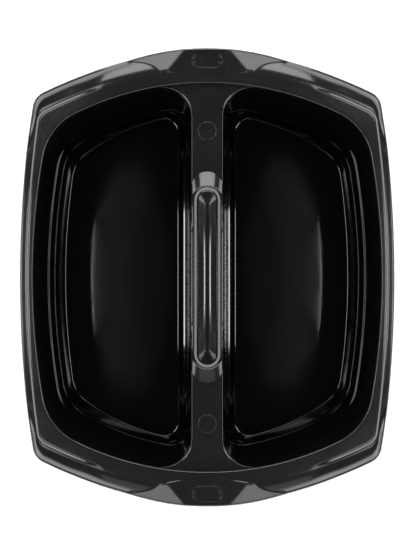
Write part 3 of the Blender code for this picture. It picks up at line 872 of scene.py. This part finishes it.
def lofted(name, loops, materials, place=(0.0, 0.0, 0.0)):
    """A closed body through equally long loops; a last one that shrank to a line is welded."""
    bm = bmesh.new()
    rings = [[bm.verts.new([a + b for a, b in zip(p, place)]) for p in loop] for loop in loops]
    for ring, following in zip(rings, rings[1:]):
        for i, vertex in enumerate(ring):
            j = (i + 1) % len(ring)
            bm.faces.new((vertex, ring[j], following[j], following[i]))
    bm.faces.new(rings[0])
    bm.faces.new(rings[-1])
    bmesh.ops.remove_doubles(bm, verts=bm.verts, dist=WELD)
    bmesh.ops.dissolve_degenerate(bm, dist=WELD, edges=bm.edges)
    return mesh_object(name, bm, materials)


def applied(obj, kind, **settings):
    """Applies one modifier to an object's mesh."""
    modifier = obj.modifiers.new(kind.lower(), kind)
    for name, value in settings.items():
        setattr(modifier, name, value)
    graph = bpy.context.evaluated_depsgraph_get()
    mesh = bpy.data.meshes.new_from_object(obj.evaluated_get(graph))
    obj.modifiers.clear()
    old = obj.data
    obj.data = mesh
    bpy.data.meshes.remove(old)


# %% [markdown]
# The opening under the bar is cut with rounded corners, as the moulding's shut-off blocks would
# leave it.

# %% Build the handle
WINDOW_HALF_Y, WINDOW_TOP, WINDOW_R, WINDOW_BELOW = mm(65.0, 8.0, 6.0, 3.0)
WINDOW_N = 6


def build_handle():
    """The bar with its feet and the opening for the fingers."""
    levels = [FOOT, BAR_LOW, BAR_WAIST, BAR_TOP, RING, LEDGE, HOLLOW_TOP, HOLLOW_LOW]
    shape = rounded(levels, EDGE_RADII)
    handle = lofted("handle_moulding", [level(v) for v in shape], [satin])
    top = DECK_Z + WINDOW_TOP
    corner = (WINDOW_HALF_Y - WINDOW_R, top - WINDOW_R)
    side = [(WINDOW_HALF_Y, DECK_Z - WINDOW_BELOW), (WINDOW_HALF_Y, corner[1])]
    side += arc(corner, WINDOW_R, 0.0, math.pi / 2.0, WINDOW_N)
    side += [(-y, z) for y, z in reversed(side)]
    loops = [[(x, y, z) for y, z in side] for x in (-2.0 * FOOT[0], 2.0 * FOOT[0])]
    cutter = lofted("window_cutter", loops, [])
    applied(handle, "BOOLEAN", operation="DIFFERENCE", solver="EXACT", object=cutter)
    bpy.data.objects.remove(cutter)
    handle.data.shade_smooth()
    handle.data.set_sharp_from_angle(angle=SHARP)
    return handle


handle = build_handle()
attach(handle, "root")
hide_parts("handle_bridge")

# %% [markdown]
# A domed cover closes the hollow of the bar. Across, the dome is round in the middle and straight
# towards its edges; lengthwise it bows down a little. It comes from a glossier tool, so the lights
# draw clean streaks along it.

# %% The cap
CAP_GAP = mm(0.3)
CAP_R, CAP_ROUND = mm(9.3, 3.6)        # radius of the dome, and half width of its round part
CAP_END_REACH = 1.6                    # the loops close in faster at the ends than at the sides
CAP_BOW, CAP_BOW_START = 0.5, mm(6.0)  # curvature per metre, and the inset where it is whole
CAP_EDGE_R, CAP_SINK = mm(0.2, 0.35)   # the rounded edge, and how deep it lies under the ring
CAP_ROWS = 14

cap_material = polypropylene("polypropylene moulded gloss", ("#0b0b0b", "#101010"), (0.13, 0.17),
                             grain=mm(0.50, 0.004), waves=mm(30.0, 0.03))


def cap_loop(inset, height):
    """A loop of the cap, inset from its edge, at a height over the ring."""
    half_x, half_y = RING[0] - CAP_GAP - inset, RING[1] - CAP_GAP - inset * CAP_END_REACH
    loop = level((half_x, half_y, RING[2] + height, RING[3]))
    bowed = CAP_BOW * min(1.0, max(0.0, inset) / CAP_BOW_START)
    return [(x, y, z - bowed * y * y / 2.0) for x, y, z in loop]


def cap_sag(aside):
    """Fall of the dome from its middle line: round, then straight towards the edge."""
    round_part = min(aside, CAP_ROUND)
    height = math.sqrt(CAP_R ** 2 - round_part ** 2)
    edge_height = math.sqrt(CAP_R ** 2 - CAP_ROUND ** 2)
    return CAP_R - height + (aside - round_part) * CAP_ROUND / edge_height


def build_cap():
    """The cover with its dome."""
    half = RING[0] - CAP_GAP
    loops = [cap_loop(0.0, LEDGE[2] - RING[2] + CAP_GAP), cap_loop(0.0, -CAP_EDGE_R - CAP_SINK)]
    for t in shares(CAP_ROWS):
        inset = half * t
        edge = CAP_EDGE_R * (1.0 - smoothstep(0.0, CAP_EDGE_R * 2.0, inset))
        loops.append(cap_loop(inset, cap_sag(half) - cap_sag(half - inset) - edge - CAP_SINK))
    return lofted("grip_cover", loops, [cap_material])


cap = build_cap()
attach(cap, "root")
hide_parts("grip_cap")

# %% [markdown]
# ## Plugs and badges
#
# Two round plugs sit in the deck. They lie almost flush, so only their rims show.

# %% Plugs
PLUG_Y = mm(129.0)
# (radius, height over the deck) from the shank's foot to the middle of the head
PLUG = [mm(*point) for point in (
    (6.2, -4.5), (6.4, -4.2), (6.4, -0.9), (8.0, -0.9), (8.0, 0.0), (7.9, 0.11), (7.7, 0.15),
    (7.0, 0.15), (0.0, 0.15))]
TURN_N = 64


def turned(name, profile, materials, place):
    """A body turned about Z from (radius, height) pairs."""
    steps = [2.0 * math.pi * i / TURN_N for i in range(TURN_N)]
    loops = [[(r * math.cos(a), r * math.sin(a), z) for a in steps] for r, z in profile]
    return lofted(name, loops, materials, place)


for end, side in (("front", -1.0), ("rear", 1.0)):
    plug = turned(f"plug_{end}", PLUG, [satin], (0.0, side * PLUG_Y, DECK_Z))
    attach(plug, "root")
    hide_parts(f"deck_plug_{end}")

# %% [markdown]
# Each grip tab carries an oval badge with a raised double edge, left blank.

# %% Badges
BADGE_Y = mm(190.0)
BADGE_HALF = mm(13.5, 7.5)
BADGE_Z = RIM_Z + TAB_Z + TAB_RISE * (BADGE_Y - TAB_START)
# (inset from the edge, height over the tab) from the foot over both raised edges to the middle
BADGE = [mm(*point) for point in (
    (0.0, -0.7), (0.0, -0.1), (0.12, 0.05), (0.35, 0.1), (1.0, 0.1), (1.25, 0.02), (1.45, -0.15),
    (1.9, -0.2), (2.1, -0.1), (2.3, 0.0), (2.7, 0.02), (3.0, -0.05), (3.2, -0.15), (5.0, -0.15),
    (7.5, -0.15))]


def oval(inset, height, side):
    """A round-ended loop along X that leans with the grip tab."""
    half_x, half_y = BADGE_HALF[0] - inset, BADGE_HALF[1] - inset
    straight = half_x - half_y
    plan = arc((straight, 0.0), half_y, -math.pi / 2.0, math.pi / 2.0, ROUND_N)
    plan += [(straight * (1.0 - 2.0 * t), half_y) for t in shares(ROUND_N)]
    plan += [(-x, -y) for x, y in plan]
    return [(x, y, height + TAB_RISE * side * y) for x, y in plan]


for end, side in (("front", -1.0), ("rear", 1.0)):
    loops = [oval(inset, height, side) for inset, height in BADGE]
    badge = lofted(f"badge_plate_{end}", loops, [cap_material], (0.0, side * BADGE_Y, BADGE_Z))
    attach(badge, "root")
    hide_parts(f"badge_{end}")

# %% [markdown]
# ## Steel fixings
#
# The four screws and their washers are zinc plated steel: bright grey, with a faint cloudiness in
# the passivated layer.

# %% Zinc plate
ZINC_DARK, ZINC_LIGHT = "#aeb2b6", "#c9ccce"
ZINC_GLOSS, ZINC_CLOUDS = (0.24, 0.40), (0.3, 0.7)
ZINC_CLOUD, ZINC_GRAIN, ZINC_GRAIN_HEIGHT = mm(1.8, 0.15, 0.004)


def zinc_plate():
    """Zinc plated steel with a cloudy passivated surface."""
    material, tree, shader = new_material("zinc plated steel")
    place = add_node(tree, "ShaderNodeTexCoord").outputs["Object"]
    cloud = noise_node(tree, place, ZINC_CLOUD, 3.0)
    fine = noise_node(tree, place, ZINC_GRAIN, 2.0)
    colour = add_node(tree, "ShaderNodeMix", {"Factor": cloud, "A": linear(ZINC_DARK),
                                              "B": linear(ZINC_LIGHT)}, data_type="RGBA")
    bump = add_node(tree, "ShaderNodeBump", {"Height": fine, "Distance": ZINC_GRAIN_HEIGHT})
    tree.links.new(colour.outputs["Result"], shader.inputs["Base Color"])
    tree.links.new(ramped(tree, cloud, *ZINC_GLOSS, *ZINC_CLOUDS), shader.inputs["Roughness"])
    tree.links.new(bump.outputs["Normal"], shader.inputs["Normal"])
    shader.inputs["Metallic"].default_value = 1.0
    return material


steel = zinc_plate()
for name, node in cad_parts.items():
    if name.startswith("handle_screw") or name.startswith("handle_washer"):
        node.data.materials.clear()
        node.data.materials.append(steel)

# %% [markdown]
# ## Floor, light and camera
#
# A black glossy thing is lit by what it reflects. One soft light hangs beyond each side and a
# smaller one beyond each corner; a large one stands at the rear and a weak one at the front.

# %% Lights
LIGHT_UP = 1.0  # height of the hanging lights over the rim
SIDE_X, SIDE_SIZE, SIDE_RADIANCE = 0.56, (0.26, 0.30), 17.0
CORNER_X, CORNER_Y, CORNER_SIZE = 0.40, 0.47, (0.24, 0.24)
CORNER_RADIANCES = ((-1.0, 4.0), (1.0, 6.0))  # at the front, and at the rear
REAR_PLACE, REAR_SIZE, REAR_RADIANCE = (0.0, 1.22, 1.08), (1.0, 0.62), 7.0
FRONT_PLACE, FRONT_SIZE, FRONT_RADIANCE = (0.0, -1.25, 1.0), (1.05, 0.55), 0.8


def area_light(name, place, target, size, radiance):
    """A rectangular light; its power follows from the radiance it should have."""
    data = bpy.data.lights.new(name, "AREA")
    data.shape = "RECTANGLE"
    data.size, data.size_y = size
    data.energy = radiance * math.pi * size[0] * size[1]
    light = bpy.data.objects.new(name, data)
    light.location = place
    direction = Vector(target) - Vector(place)
    light.rotation_mode = "QUATERNION"
    light.rotation_quaternion = direction.to_track_quat("-Z", "Y")
    bpy.context.scene.collection.objects.link(light)


for side in (-1.0, 1.0):
    hung = (side * SIDE_X, 0.0, RIM_Z + LIGHT_UP)
    area_light("light_side", hung, (hung[0], hung[1], 0.0), SIDE_SIZE, SIDE_RADIANCE)
    for end, radiance in CORNER_RADIANCES:
        hung = (side * CORNER_X, end * CORNER_Y, RIM_Z + LIGHT_UP)
        area_light("light_corner", hung, (hung[0], hung[1], 0.0), CORNER_SIZE, radiance)
area_light("light_rear", REAR_PLACE, (0.0, 0.0, RIM_Z), REAR_SIZE, REAR_RADIANCE)
area_light("light_front", FRONT_PLACE, (0.0, 0.0, RIM_Z), FRONT_SIZE, FRONT_RADIANCE)

# %% [markdown]
# The tray stands on a plain white board. The surroundings are bright up to about 27 degrees over
# the horizon and dark above. Seen from overhead, the flat parts of the tray mirror the dark part,
# and the slopes that are steep enough to mirror the bright one stand out.

# %% Board and surroundings
BOARD_HALF, BOARD_WHITE, BOARD_ROUGHNESS = 3.0, "#f4f4f4", 0.9
HORIZON, OVERHEAD = 5.0, 0.03  # strength of the glow low down and high up
GLOW_EDGE = (0.42, 0.49)       # sines of the elevations between which it falls

bm = bmesh.new()
corners = [(-1.0, -1.0), (1.0, -1.0), (1.0, 1.0), (-1.0, 1.0)]
bm.faces.new([bm.verts.new((x * BOARD_HALF, y * BOARD_HALF, 0.0)) for x, y in corners])
white, _, white_shader = new_material("matt white board")
white_shader.inputs["Base Color"].default_value = linear(BOARD_WHITE)
white_shader.inputs["Roughness"].default_value = BOARD_ROUGHNESS
floor_board = mesh_object("floor_board", bm, [white])

world = bpy.data.worlds.new("surroundings")
bpy.context.scene.world = world
world.use_nodes = True
sky = world.node_tree
direction = add_node(sky, "ShaderNodeTexCoord").outputs["Generated"]
up = add_node(sky, "ShaderNodeSeparateXYZ", {0: direction}).outputs["Z"]
glow = ramped(sky, up, HORIZON, OVERHEAD, *GLOW_EDGE)
sky.links.new(glow, sky.nodes["Background"].inputs["Strength"])
sky.nodes["Background"].inputs["Color"].default_value = (1.0, 1.0, 1.0, 1.0)

# %% [markdown]
# The camera looks straight down from above the rim, slightly beside the middle. Its lens is
# shifted sideways, which moves the tray in the frame without turning the view.

# %% Camera
CAMERA_HEIGHT = 0.910          # over the rim
CAMERA_ASIDE = mm(-4.0, -0.2)
CAMERA_SHIFT = 0.0096          # as a share of the sensor's larger side
LENS = 67.4                    # focal length in millimetres
camera_data = bpy.data.cameras.new("camera")
camera_data.lens = LENS
camera_data.shift_x = CAMERA_SHIFT
camera = bpy.data.objects.new("camera", camera_data)
camera.location = (*CAMERA_ASIDE, RIM_Z + CAMERA_HEIGHT)
bpy.context.scene.collection.objects.link(camera)
bpy.context.scene.camera = camera
bpy.context.scene.view_settings.view_transform = "Standard"
